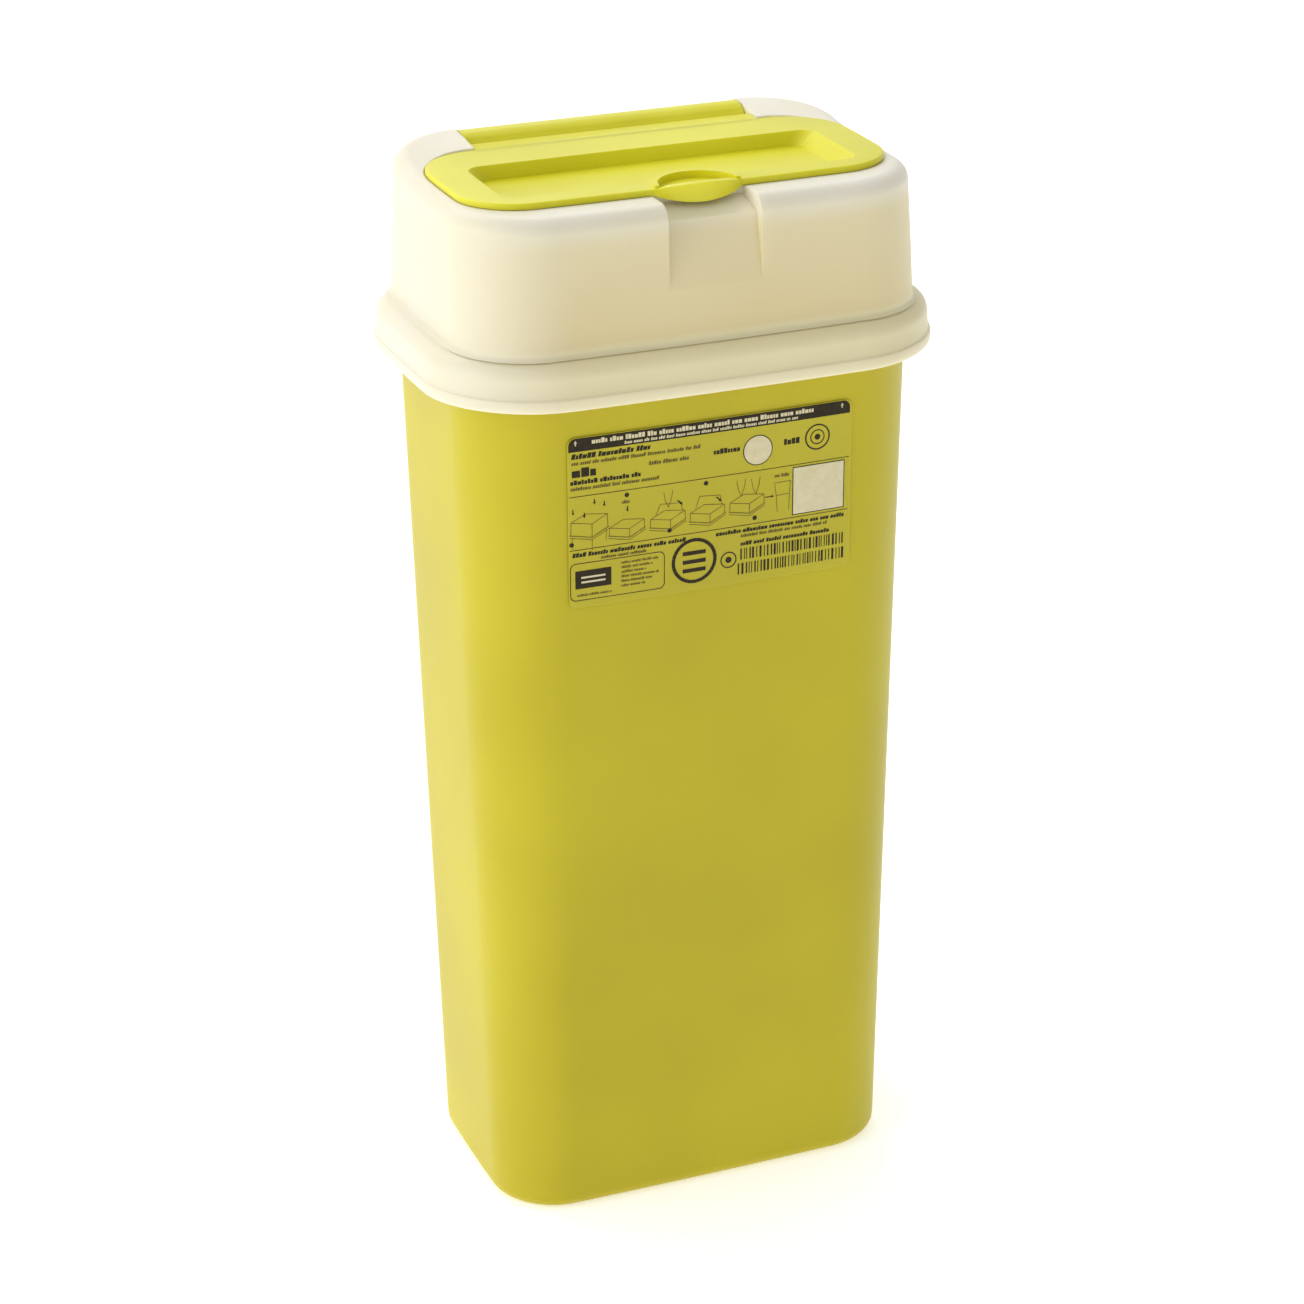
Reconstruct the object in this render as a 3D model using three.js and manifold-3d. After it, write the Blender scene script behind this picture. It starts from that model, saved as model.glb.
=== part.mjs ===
// Sharps container: drafted tub, dome lid with a wide skirt, hinged flap and a film label.
// Millimetres, +Z up. Origin: centre of the foot, on the surface it stands on. The label faces -Y.
import * as THREE from 'three';
import { ParametricGeometry } from 'three/addons/geometries/ParametricGeometry.js';
import { mergeVertices } from 'three/addons/utils/BufferGeometryUtils.js';
import Module from 'manifold-3d';

// ---- driving dimensions ----
const height = 396.3; // floor to the crest of the rear curb
const lidRise = 57.8; // tub's mouth to that crest
const halfLength = 86.8; // tub's mouth, middle to the short side's middle
const halfWidth = 57.1; // and to the long side's middle
const tubHeight = height - lidRise;
const tubMouth = { x: halfLength, y: halfWidth, r: 30.3, bow: 1.9 };
const tubFoot = { x: halfLength - 7.2, y: halfWidth - 7.2, r: 24.5, bow: 1.0 }; // drafted inward to the floor
const tubWall = 1.6;
const tubBase = 2.2;
const footWidth = 4.5; // ring that the tub stands on
const footLift = 1.2; // base panel above the floor, inside that ring
const footFillet = 5.5;
const beadOut = 2.0; // snap bead round the mouth
const beadTall = 7.0;

const lidWall = 1.8;
const fitGap = 0.3; // between pieces that touch
const skirtGap = 3.7; // skirt's inside to the bead
const skirtTall = 17.0; // dome foot to the skirt's lower edge
const bandTall = 4.8; // lower band of the skirt
const lipTall = 4.6; // inward lip at the skirt's foot
const shoulder = 3.9; // shoulder over the bead
const domeFoot = { x: halfLength + 0.5, y: halfWidth + 2.5, r: 27.0, bow: 1.9 };
const domeTop = { x: domeFoot.x - 1.3, y: domeFoot.y - 1.2, r: 29.0, bow: 1.9 };
const domeFillet = 6.0;
const domeEase = 20; // height above the dome's foot where the front starts to sink
const curbRise = 4.7; // front deck up to the crest of the rear curb
const curbStart = 4.0; // where the deck starts to rise, in Y
const recessDepth = 0.3; // flap's seat below the front deck
const skirtEdge = 0.3; // skirt's foot edge, band and face, out from the skirt's inside wall
const bandOut = 1.7;
const seatGap = 0.6; // round the flap in its seat

const flapHalf = domeTop.x - 6.1; // half length of the flap
const flapFront = 15.4 - domeTop.y;
const flapRear = domeTop.y - 26.9;
const flapCorner = 21.0;
const flapPlate = 2.2;
const trayHalf = flapHalf - 13.4;
const trayFront = flapFront + 9;
const trayRear = flapRear - 21.8;
const trayCorner = 6;
const trayDeep = 5.1;
const traySlope = 5.0;
const trayWall = 1.6;
const mouthGap = 0.9; // aperture's edge to the tray's wall

const barrelRadius = 9.0; // hinge barrel at the flap's rear
const barrelHalf = domeTop.x - 31.5;
const barrelGap = 0.4;
const barrelBore = 6.4; // coring of the barrel, open below
const barrelRibs = 4;
const ribWidth = 2.4;
const pinRadius = 3.0;
const pinReach = 4.0;
const cradleWall = 1.8;
const webThick = 1.0; // hinge web left under the groove in front of the barrel
const grooveWide = 3.4;

const tabCentre = 0.8; // thumb tab, in X
const tabHalf = 16.5;
const tabReach = 5.5; // how far the lip stands in front of the flap
const lipThick = 2.2;
const lipUp = 2.2; // above the flap's top
const lipDown = 2.4; // below the flap's underside
const scoopRadius = 14.3;
const scoopRim = 1.7;
const scoopRise = 1.3;
const scoopFloor = 1.2; // below the flap's top

const fingerGap = 0.7; // finger recess to the tab, each side
const fingerTall = 29.0; // front deck down to the recess's foot
const fingerDeep = 4.6; // behind the dome's front, at the shelf's front edge
const shelfDrop = 3.4; // shelf's fall from under the lip to its front edge

const labelHalf = halfLength - 32.8;
const labelTall = 63.9;
const labelTop = 12.6; // below the skirt's lower edge
const filmThick = 0.3;

// ---- derived places ----
const deckFront = height - curbRise; // front deck's surface
const seatZ = deckFront - recessDepth; // what the flap rests on
const ceilingZ = seatZ - lidWall; // underside of the deck
const plateBottom = seatZ + fitGap;
const plateTop = plateBottom + flapPlate;
const hingeY = domeTop.y - barrelRadius - 0.2;
const hingeZ = height - barrelRadius;
const ledgeZ = tubHeight + fitGap; // underside of the shoulder
const domeFootZ = ledgeZ + shoulder + 1.8;
const skirtBottom = ledgeZ + shoulder - skirtTall;
const fingerBackY = flapFront + 1; // recess reaches just behind the lip
const fingerHalf = tabHalf + fingerGap;
const bead = { x: tubMouth.x + beadOut, y: tubMouth.y + beadOut, r: tubMouth.r + beadOut, bow: tubMouth.bow };

const cutOver = 5; // cutting bodies reach this far past what they cut
const barrelSides = 48;
const pinSides = 24;

const wasm = await Module();
wasm.setup();

// ---- outlines and solids ----
const sideSteps = { short: 2, corner: 8, long: 4 };
const quadrantSteps = sideSteps.short + sideSteps.corner + sideSteps.long;

function grow(ring, by) {
  return { ...ring, x: ring.x + by, y: ring.y + by, r: Math.max(ring.r + by, 0.5) };
}

function between(low, high, share) {
  const mix = (key) => low[key] + (high[key] - low[key]) * share;
  return { x: mix('x'), y: mix('y'), r: mix('r'), bow: mix('bow') };
}

// First quadrant of a rounded rectangle, counted in steps from the middle of the short side.
function quadrantPoint(step, halfX, halfY, radius) {
  if (step <= sideSteps.short) {
    return [halfX, (halfY - radius) * (step / sideSteps.short)];
  }
  if (step <= sideSteps.short + sideSteps.corner) {
    const angle = ((step - sideSteps.short) / sideSteps.corner) * (Math.PI / 2);
    return [halfX - radius + radius * Math.cos(angle), halfY - radius + radius * Math.sin(angle)];
  }
  return [(halfX - radius) * ((quadrantSteps - step) / sideSteps.long), halfY];
}

// A point of a rounded rectangle whose sides bow out a little; turn runs 0 to 1, anticlockwise.
function outlinePoint(turn, ring) {
  const step = turn * quadrantSteps * 4;
  const quadrant = Math.min(Math.floor(step / quadrantSteps + 1e-9), 3);
  const along = step - quadrant * quadrantSteps;
  const folded = quadrant % 2 === 0 ? along : quadrantSteps - along;
  const halfX = Math.max(ring.x - ring.bow, 1e-6);
  const halfY = Math.max(ring.y - ring.bow, 1e-6);
  const [px, py] = quadrantPoint(folded, halfX, halfY, ring.r);
  const bowX = ring.bow * (1 - (py / halfY) ** 2) * (px / halfX);
  const bowY = ring.bow * (1 - (px / halfX) ** 2) * (py / halfY);
  const signX = quadrant === 1 || quadrant === 2 ? -1 : 1;
  const signY = quadrant > 1 ? -1 : 1;
  return [signX * (px + bowX), signY * (py + bowY)];
}

// Closed body through a stack of rings, bottom to top; both ends are closed at a middle point.
function loft(rings, shift = () => 0) {
  const first = rings[0];
  const last = rings[rings.length - 1];
  const stack = [{ ...first, pole: true }, ...rings, { ...last, pole: true }];
  const place = (turn, rise, target) => {
    const ring = stack[Math.round(rise * (stack.length - 1))];
    const [px, py] = ring.pole ? [0, 0] : outlinePoint(turn % 1, ring);
    const y = py + (ring.midY ?? 0);
    target.set(px + (ring.midX ?? 0), y, ring.z - shift(y, ring.z));
  };
  return solid(new ParametricGeometry(place, quadrantSteps * 4, stack.length - 1));
}

function solid(geometry) {
  const bare = geometry.clone();
  bare.deleteAttribute('normal');
  bare.deleteAttribute('uv');
  const merged = mergeVertices(bare, 1e-4);
  const index = merged.index.array;
  const triVerts = [];
  for (let i = 0; i < index.length; i += 3) {
    const [a, b, c] = [index[i], index[i + 1], index[i + 2]];
    if (a !== b && b !== c && a !== c) triVerts.push(a, b, c);
  }
  const vertProperties = new Float32Array(merged.attributes.position.array);
  const mesh = new wasm.Mesh({ numProp: 3, vertProperties, triVerts: new Uint32Array(triVerts) });
  return new wasm.Manifold(mesh);
}

function prism(ring, low, high) {
  return loft([{ ...ring, z: low }, { ...ring, z: high }]);
}

function block(x0, x1, y0, y1, z0, z1) {
  const box = new THREE.BoxGeometry(x1 - x0, y1 - y0, z1 - z0);
  box.translate((x0 + x1) / 2, (y0 + y1) / 2, (z0 + z1) / 2);
  return solid(box);
}

function rod(radius, x0, x1, y, z, sides = 32) {
  const cylinder = new THREE.CylinderGeometry(radius, radius, x1 - x0, sides);
  cylinder.rotateZ(Math.PI / 2);
  cylinder.translate((x0 + x1) / 2, y, z);
  return solid(cylinder);
}

function disc(radius, x, y, low, high, sides = 40) {
  const cylinder = new THREE.CylinderGeometry(radius, radius, high - low, sides);
  cylinder.rotateX(Math.PI / 2);
  cylinder.translate(x, y, (low + high) / 2);
  return solid(cylinder);
}

// Side profile in Y and Z, drawn out along X.
function alongX(points, x0, x1) {
  const shape = new THREE.Shape(points.map(([y, z]) => new THREE.Vector2(y, z)));
  const body = new THREE.ExtrudeGeometry(shape, { depth: x1 - x0, bevelEnabled: false });
  const turn = new THREE.Matrix4().makeBasis(
    new THREE.Vector3(0, 1, 0),
    new THREE.Vector3(0, 0, 1),
    new THREE.Vector3(1, 0, 0),
  );
  body.applyMatrix4(turn);
  body.translate(x0, 0, 0);
  return solid(body);
}

// Front profile in X and Z, drawn out along Y.
function alongY(points, y0, y1) {
  const shape = new THREE.Shape(points.map(([x, z]) => new THREE.Vector2(x, z)));
  const body = new THREE.ExtrudeGeometry(shape, { depth: y1 - y0, bevelEnabled: false });
  const turn = new THREE.Matrix4().makeBasis(
    new THREE.Vector3(1, 0, 0),
    new THREE.Vector3(0, 0, 1),
    new THREE.Vector3(0, -1, 0),
  );
  body.applyMatrix4(turn);
  body.translate(0, y1, 0);
  return solid(body);
}

// Rings of a quarter-round edge from a wall onto a flat, above or below it.
function filletRings(ring, radius, flatZ, up, steps = 4) {
  const rings = [];
  for (let i = 0; i <= steps; i += 1) {
    const angle = (i / steps) * (Math.PI / 2);
    const inward = radius * (1 - Math.cos(angle));
    const rise = radius * (1 - Math.sin(angle));
    rings.push({ ...grow(ring, -inward), z: flatZ - up * rise });
  }
  return rings;
}

// ---- tub ----
function tubRing(z, offset = 0) {
  return { ...grow(between(tubFoot, tubMouth, z / tubHeight), offset), z };
}

function makeContainerBody() {
  const beadFoot = tubHeight - beadTall;
  const foot = filletRings(tubRing(footFillet), footFillet, 0, -1).reverse();
  const outer = loft([
    ...foot,
    tubRing(tubHeight / 2),
    tubRing(beadFoot - 1.5),
    { ...bead, z: beadFoot },
    { ...bead, z: tubHeight - 1.2 },
    { ...grow(bead, -0.9), z: tubHeight },
  ]);
  const innerFoot = tubRing(footFillet, -tubWall);
  const floor = filletRings(innerFoot, footFillet - tubWall, footLift + tubBase, -1).reverse();
  const inner = loft([...floor, tubRing(tubHeight / 2, -tubWall), tubRing(tubHeight + 1, -tubWall)]);
  const underside = prism(grow(tubFoot, -footFillet - footWidth), -1, footLift);
  return outer.subtract(inner).subtract(underside);
}

// ---- lid ----
// How far the top surface lies below the crest: the deck is level in front and rises to the rear curb.
function topDrop(y, z) {
  const share = THREE.MathUtils.smoothstep(y, curbStart, hingeY + 5);
  const near = THREE.MathUtils.smoothstep(z, domeFootZ + domeEase, height - domeFillet);
  return curbRise * (1 - share) * near;
}

function makeLidShell() {
  const skirt = grow(bead, skirtGap + lidWall);
  const crest = filletRings(domeTop, domeFillet, height, 1, 5);
  const domeRims = [14, 26, 40, 52].map((inward) => ({ ...grow(domeTop, -inward), z: height }));
  const outer = loft([
    { ...grow(skirt, skirtEdge), z: skirtBottom },
    { ...grow(skirt, bandOut - 0.1), z: skirtBottom + 1.3 },
    { ...grow(skirt, bandOut), z: skirtBottom + bandTall - 0.8 },
    { ...grow(skirt, 0.9), z: skirtBottom + bandTall },
    { ...grow(skirt, 0.4), z: ledgeZ - 1.4 },
    { ...grow(skirt, -0.5), z: ledgeZ + 1.2 },
    { ...grow(skirt, -2.5), z: ledgeZ + shoulder - 1.3 },
    { ...grow(skirt, -5.0), z: ledgeZ + shoulder - 0.1 },
    { ...grow(domeFoot, 0.7), z: ledgeZ + shoulder + 0.4 },
    { ...domeFoot, z: domeFootZ },
    { ...between(domeFoot, domeTop, 0.5), z: (domeFootZ + height - domeFillet) / 2 },
    ...crest,
    ...domeRims,
  ], topDrop);
  const lip = grow(bead, 0.4);
  const hollow = loft([
    { ...lip, z: skirtBottom - 1 },
    { ...lip, z: skirtBottom + lipTall },
    { ...grow(bead, skirtGap), z: skirtBottom + lipTall + 1.5 },
    { ...grow(bead, skirtGap), z: ledgeZ },
    { ...grow(domeFoot, -lidWall), z: ledgeZ },
    ...filletRings(grow(domeTop, -lidWall), domeFillet - lidWall, ceilingZ, 1, 3),
  ]);
  const cradle = rod(barrelRadius + barrelGap + cradleWall, -cradleHalf(), cradleHalf(), hingeY, hingeZ);
  const padHalf = fingerHalf + lidWall;
  const fingerPad = alongX(fingerProfile(lidWall), tabCentre - padHalf, tabCentre + padHalf);
  let lid = outer.subtract(hollow).add(outer.intersect(cradle.add(fingerPad)));
  lid = lid.subtract(flapSeat()).subtract(aperture()).subtract(hingeNotch());
  return lid.subtract(alongX(fingerProfile(0), tabCentre - fingerHalf, tabCentre + fingerHalf));
}

function cradleHalf() {
  return barrelHalf + barrelGap + pinReach + cradleWall;
}

// A shelf under the tab's lip, then a face that runs out to nothing at the recess's foot.
function fingerProfile(behind) {
  const outside = -domeFoot.y - 6;
  const footZ = deckFront - fingerTall - behind * 2;
  const share = (footZ - domeFootZ) / (height - domeFootZ);
  const footY = -THREE.MathUtils.lerp(domeFoot.y, domeTop.y, share) + behind;
  const shelfY = fingerDeep - domeTop.y + behind;
  const lipFoot = plateBottom - lipDown - 2 * fitGap - behind;
  const topZ = behind > 0 ? ceilingZ + 0.5 : height;
  return [
    [outside, footZ],
    [footY, footZ],
    [shelfY, lipFoot - shelfDrop],
    [fingerBackY + behind, lipFoot],
    [fingerBackY + behind, topZ],
    [outside, topZ],
  ];
}

function flapRing(offset = 0) {
  const ring = { x: flapHalf, y: (flapRear - flapFront) / 2, r: flapCorner, bow: 1.2 };
  return { ...grow(ring, offset), midY: (flapRear + flapFront) / 2 };
}

function flapSeat() {
  return prism(flapRing(seatGap), seatZ, height + cutOver);
}

function trayRing(offset = 0) {
  const ring = { x: trayHalf, y: (trayRear - trayFront) / 2, r: trayCorner, bow: 0.3 };
  return { ...grow(ring, offset), midY: (trayRear + trayFront) / 2 };
}

function aperture() {
  return prism(trayRing(trayWall + mouthGap), ceilingZ - cutOver, height + cutOver);
}

function hingeNotch() {
  const half = barrelHalf + barrelGap;
  const socketHalf = half + pinReach + fitGap;
  const socket = rod(pinRadius + fitGap, -socketHalf, socketHalf, hingeY, hingeZ, pinSides);
  const over = block(-half, half, flapRear - 2, domeTop.y + 10, seatZ, height + cutOver);
  const behind = block(-half, half, hingeY, domeTop.y + 10, hingeZ - barrelRadius / 2, height + cutOver);
  return rod(barrelRadius + barrelGap, -half, half, hingeY, hingeZ).add(over).add(behind).add(socket);
}

// ---- flap ----
function makeFlap() {
  const floorZ = plateTop - trayDeep;
  const plate = prism(flapRing(), plateBottom, plateTop);
  const basin = prism(trayRing(trayWall), floorZ - trayWall, plateTop);
  const hollowFloor = { ...trayRing(-1), x: trayHalf - traySlope, z: floorZ };
  const hollow = loft([hollowFloor, { ...trayRing(), z: plateTop }, { ...trayRing(), z: plateTop + 4 }]);
  const island = disc(scoopRadius + scoopRim + 1, tabCentre, flapFront, floorZ - trayWall, plateTop)
    .intersect(basin);
  let flap = plate.add(basin).subtract(hollow).add(island);
  flap = flap.add(scoopRing()).add(makeLip()).add(makeBarrel());
  return flap.subtract(scoopWell());
}

function scoopRing() {
  const low = plateBottom + 0.2;
  const ring = disc(scoopRadius + scoopRim, tabCentre, flapFront - 1, low, plateTop + scoopRise);
  const behind = block(-flapHalf, flapHalf, flapFront, flapRear, low, plateTop + scoopRise);
  return ring.intersect(behind);
}

function scoopWell() {
  const well = disc(scoopRadius, tabCentre, flapFront - 1, plateTop - scoopFloor, plateTop + scoopRise + 1);
  const behind = block(-flapHalf, flapHalf, flapFront - 0.6, flapRear, plateBottom, plateTop + 5);
  return well.intersect(behind);
}

// Crescent lip: a bowed wall in plan, cut to a curved top and foot edge in front view.
function makeLip() {
  const radius = (tabHalf ** 2 + tabReach ** 2) / (2 * tabReach);
  const middle = flapFront - tabReach + radius;
  const [low, high] = [plateBottom - lipDown - 1, plateTop + lipUp + 1];
  const outside = disc(radius, tabCentre, middle, low, high, 96);
  const inside = disc(radius - lipThick, tabCentre, middle, low - 1, plateBottom, 96)
    .add(disc(radius - lipThick, tabCentre, middle, plateTop - scoopFloor, high + 1, 96));
  const [left, right] = [tabCentre - tabHalf, tabCentre + tabHalf];
  const front = block(left, right, flapFront - tabReach - 1, flapFront + 0.5, low, high);
  const edges = [];
  const steps = 12;
  for (let i = 0; i <= steps; i += 1) {
    const side = 1 - (2 * i) / steps;
    edges.push([tabCentre + side * (tabHalf + 0.1), plateTop + lipUp * (1 - side ** 2)]);
  }
  for (let i = 0; i <= steps; i += 1) {
    const side = (2 * i) / steps - 1;
    edges.push([tabCentre + side * (tabHalf + 0.1), plateBottom - lipDown * (1 - side ** 2)]);
  }
  const face = alongY(edges, flapFront - tabReach - 2, flapFront + 1);
  return outside.subtract(inside).intersect(front).intersect(face);
}

// Ribbed barrel with a pin at each end, joined to the plate by a web with a groove in front of the barrel.
function makeBarrel() {
  const webEnd = hingeY - barrelRadius / 2;
  const grooveEnd = hingeY - Math.sqrt(barrelRadius ** 2 - (plateBottom + webThick - hingeZ) ** 2);
  const web = alongX([
    [flapRear - 3, plateBottom],
    [webEnd, plateBottom],
    [webEnd, plateBottom + webThick],
    [grooveEnd, plateBottom + webThick],
    [grooveEnd - grooveWide, plateTop],
    [flapRear - 3, plateTop],
  ], -barrelHalf, barrelHalf);
  const reach = barrelHalf + barrelGap + pinReach;
  let barrel = rod(barrelRadius, -barrelHalf, barrelHalf, hingeY, hingeZ, barrelSides).add(web);
  const bay = (2 * barrelHalf - ribWidth) / (barrelRibs + 1);
  const slotHalf = barrelBore - 1.2;
  for (let i = 0; i <= barrelRibs; i += 1) {
    const start = -barrelHalf + ribWidth + i * bay;
    const end = start + bay - ribWidth;
    const core = rod(barrelBore, start, end, hingeY, hingeZ, pinSides);
    const slot = block(start, end, hingeY - slotHalf, hingeY + slotHalf, hingeZ - barrelRadius - 1, hingeZ);
    barrel = barrel.subtract(core.add(slot));
  }
  return barrel.add(rod(pinRadius, -reach, -barrelHalf + 1, hingeY, hingeZ, pinSides))
    .add(rod(pinRadius, barrelHalf - 1, reach, hingeY, hingeZ, pinSides));
}

// ---- label ----
function makeLabelFilm() {
  const topZ = skirtBottom - labelTop;
  const lowZ = topZ - labelTall;
  const skin = (offset, over) => loft([tubRing(lowZ - over, offset), tubRing(topZ + over, offset)]);
  const panel = block(-labelHalf, labelHalf, -tubMouth.y - 10, 0, lowZ, topZ);
  return skin(fitGap + filmThick, 1).subtract(skin(fitGap, 2)).intersect(panel);
}

// ---- materials ----
function yellowPolypropylene() {
  return new THREE.MeshStandardMaterial({ color: 0xc9bd2c, roughness: 0.42, metalness: 0 });
}

function creamPolypropylene() {
  return new THREE.MeshStandardMaterial({ color: 0xe8e0c4, roughness: 0.45, metalness: 0 });
}

function flapPolypropylene() {
  return new THREE.MeshStandardMaterial({ color: 0xdfdc45, roughness: 0.4, metalness: 0 });
}

function clearFilm() {
  return new THREE.MeshStandardMaterial({ color: 0xc6ba3a, roughness: 0.18, metalness: 0 });
}

function named(name, body, material) {
  const { vertProperties, triVerts } = body.getMesh();
  const geometry = new THREE.BufferGeometry();
  geometry.setAttribute('position', new THREE.BufferAttribute(new Float32Array(vertProperties), 3));
  geometry.setIndex(new THREE.BufferAttribute(new Uint32Array(triVerts), 1));
  geometry.computeVertexNormals();
  const mesh = new THREE.Mesh(geometry, material);
  mesh.name = name;
  return mesh;
}

const sharpsContainer = new THREE.Group();
sharpsContainer.add(
  named('container_body', makeContainerBody(), yellowPolypropylene()),
  named('lid_shell', makeLidShell(), creamPolypropylene()),
  named('flap', makeFlap(), flapPolypropylene()),
  named('label_film', makeLabelFilm(), clearFilm()),
);

export default sharpsContainer;
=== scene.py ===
import bmesh, bpy, math, random
from mathutils import Matrix, Vector


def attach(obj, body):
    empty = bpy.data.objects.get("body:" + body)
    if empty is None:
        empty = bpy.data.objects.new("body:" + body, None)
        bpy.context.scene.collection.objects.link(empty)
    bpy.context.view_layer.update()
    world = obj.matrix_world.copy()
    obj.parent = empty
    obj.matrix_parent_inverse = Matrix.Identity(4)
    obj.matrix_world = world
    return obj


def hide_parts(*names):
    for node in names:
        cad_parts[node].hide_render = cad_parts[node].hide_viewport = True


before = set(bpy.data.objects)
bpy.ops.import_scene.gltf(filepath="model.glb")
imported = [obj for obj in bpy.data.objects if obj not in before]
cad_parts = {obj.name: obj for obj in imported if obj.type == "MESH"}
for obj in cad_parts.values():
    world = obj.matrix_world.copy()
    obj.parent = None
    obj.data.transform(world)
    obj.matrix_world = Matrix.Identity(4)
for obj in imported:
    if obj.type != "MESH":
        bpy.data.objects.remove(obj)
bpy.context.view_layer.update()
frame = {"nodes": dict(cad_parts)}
mm = 0.001
scene = bpy.context.scene
print("frame loaded:", ", ".join(frame["nodes"]))


# colour and node helpers
def srgb(code):  # "#rrggbb" to linear RGBA
    parts = [int(code[i:i + 2], 16) / 255 for i in (1, 3, 5)]
    return (*[c / 12.92 if c <= 0.04045 else ((c + 0.055) / 1.055) ** 2.4 for c in parts], 1.0)


def addNode(tree, kind, values=None):
    # values: attribute or input name -> a value, or the output socket that is linked to it
    node = tree.nodes.new(kind)
    for key, value in (values or {}).items():
        if isinstance(value, bpy.types.NodeSocket):
            tree.links.new(value, node.inputs[key])
        elif hasattr(node, key):
            setattr(node, key, value)
        else:
            node.inputs[key].default_value = value
    return node


def startMaterial(name):
    material = bpy.data.materials.new(name)
    material.use_nodes = True
    tree = material.node_tree
    tree.nodes.clear()
    shader = addNode(tree, "ShaderNodeBsdfPrincipled")
    output = addNode(tree, "ShaderNodeOutputMaterial")
    tree.links.new(shader.outputs["BSDF"], output.inputs["Surface"])
    place = addNode(tree, "ShaderNodeTexCoord").outputs["Object"]
    return material, tree, shader, place


def addMottle(tree, place, sizeMm, detail, spread, deep, colour):
    # clouds about sizeMm across between two close tints, reached when the noise is spread away from 0.5
    noise = addNode(tree, "ShaderNodeTexNoise", {"Scale": 1000 / sizeMm, "Detail": detail, "Vector": place})
    share = addNode(tree, "ShaderNodeMapRange", {"From Min": 0.5 - spread, "From Max": 0.5 + spread,
                                                 "Value": noise.outputs["Fac"]})
    tint = addNode(tree, "ShaderNodeMix", {"data_type": "RGBA", "A": srgb(deep), "B": srgb(colour),
                                           "Factor": share.outputs["Result"]})
    return noise.outputs["Fac"], tint.outputs["Result"]


def addRelief(tree, shader, place, sizeMm, detail, strength, depthMm):
    # fine unevenness of the surface, features about sizeMm across and depthMm deep
    noise = addNode(tree, "ShaderNodeTexNoise", {"Scale": 1000 / sizeMm, "Detail": detail, "Vector": place})
    bump = addNode(tree, "ShaderNodeBump", {"Strength": strength, "Distance": depthMm * mm,
                                            "Height": noise.outputs["Fac"]})
    tree.links.new(bump.outputs["Normal"], shader.inputs["Normal"])


def setShader(shader, values):
    for key, value in values.items():
        shader.inputs[key].default_value = value


# mesh helpers, all in millimetres
outlineSteps = {"short": 5, "corner": 18, "long": 9}
quadrantSteps = sum(outlineSteps.values())
ringCount = quadrantSteps * 4


def ringOf(x, y, r, bow=0.0, midX=0.0, midY=0.0, z=0.0):
    return {"x": x, "y": y, "r": r, "bow": bow, "midX": midX, "midY": midY, "z": z}


def grow(ring, by, z=None):
    grown = dict(ring, x=ring["x"] + by, y=ring["y"] + by, r=max(ring["r"] + by, 0.5))
    if z is not None:
        grown["z"] = z
    return grown


def between(low, high, share, z):
    mixed = {key: low[key] + (high[key] - low[key]) * share for key in low}
    mixed["z"] = z
    return mixed


def quadrantPoint(step, halfX, halfY, radius):
    short, corner, long = outlineSteps["short"], outlineSteps["corner"], outlineSteps["long"]
    if step <= short:
        return halfX, (halfY - radius) * step / short
    if step <= short + corner:
        angle = (step - short) / corner * math.pi / 2
        return halfX - radius + radius * math.cos(angle), halfY - radius + radius * math.sin(angle)
    return (halfX - radius) * (quadrantSteps - step) / long, halfY


def outlinePoint(index, ring):
    quadrant, along = divmod(index % ringCount, quadrantSteps)
    step = along if quadrant % 2 == 0 else quadrantSteps - along
    halfX, halfY = max(ring["x"] - ring["bow"], 1e-6), max(ring["y"] - ring["bow"], 1e-6)
    px, py = quadrantPoint(step, halfX, halfY, ring["r"])
    bowX = ring["bow"] * (1 - (py / halfY) ** 2) * px / halfX
    bowY = ring["bow"] * (1 - (px / halfX) ** 2) * py / halfY
    signX = -1 if quadrant in (1, 2) else 1
    signY = -1 if quadrant > 1 else 1
    return signX * (px + bowX) + ring["midX"], signY * (py + bowY) + ring["midY"]


def meshObject(name, points, faces):
    mesh = bpy.data.meshes.new(name)
    mesh.from_pydata([Vector(p) * mm for p in points], [], faces)
    mesh.validate()
    piece = bpy.data.objects.new(name, mesh)
    scene.collection.objects.link(piece)
    return piece


def loft(name, rings, sink=None):
    # stack of rings from the bottom up, closed with a fan at each end
    points = []
    for ring in rings:
        for index in range(ringCount):
            x, y = outlinePoint(index, ring)
            points.append((x, y, ring["z"] - (sink(y, ring["z"]) if sink else 0)))
    faces = []
    for level in range(len(rings) - 1):
        base = level * ringCount
        for index in range(ringCount):
            after = (index + 1) % ringCount
            faces.append((base + index, base + after, base + ringCount + after, base + ringCount + index))
    for ring, base, flip in ((rings[0], 0, True), (rings[-1], (len(rings) - 1) * ringCount, False)):
        middleY = ring["midY"]
        points.append((ring["midX"], middleY, ring["z"] - (sink(middleY, ring["z"]) if sink else 0)))
        middle = len(points) - 1
        for index in range(ringCount):
            edge = (base + index, base + (index + 1) % ringCount)
            faces.append((edge[1], edge[0], middle) if flip else (edge[0], edge[1], middle))
    return meshObject(name, points, faces)


def prism(name, ring, low, high):
    return loft(name, [dict(ring, z=low), dict(ring, z=high)])


def drawn(name, outline, start, end, place):
    # flat outline drawn from start to end; place turns (a, b, depth) into x, y, z
    count = len(outline)
    points = [place(a, b, start) for a, b in outline] + [place(a, b, end) for a, b in outline]
    faces = [tuple(range(count)), tuple(range(2 * count - 1, count - 1, -1))]
    for i in range(count):
        j = (i + 1) % count
        faces.append((j, i, count + i, count + j))
    piece = meshObject(name, points, faces)
    outward(piece)
    return piece


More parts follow.
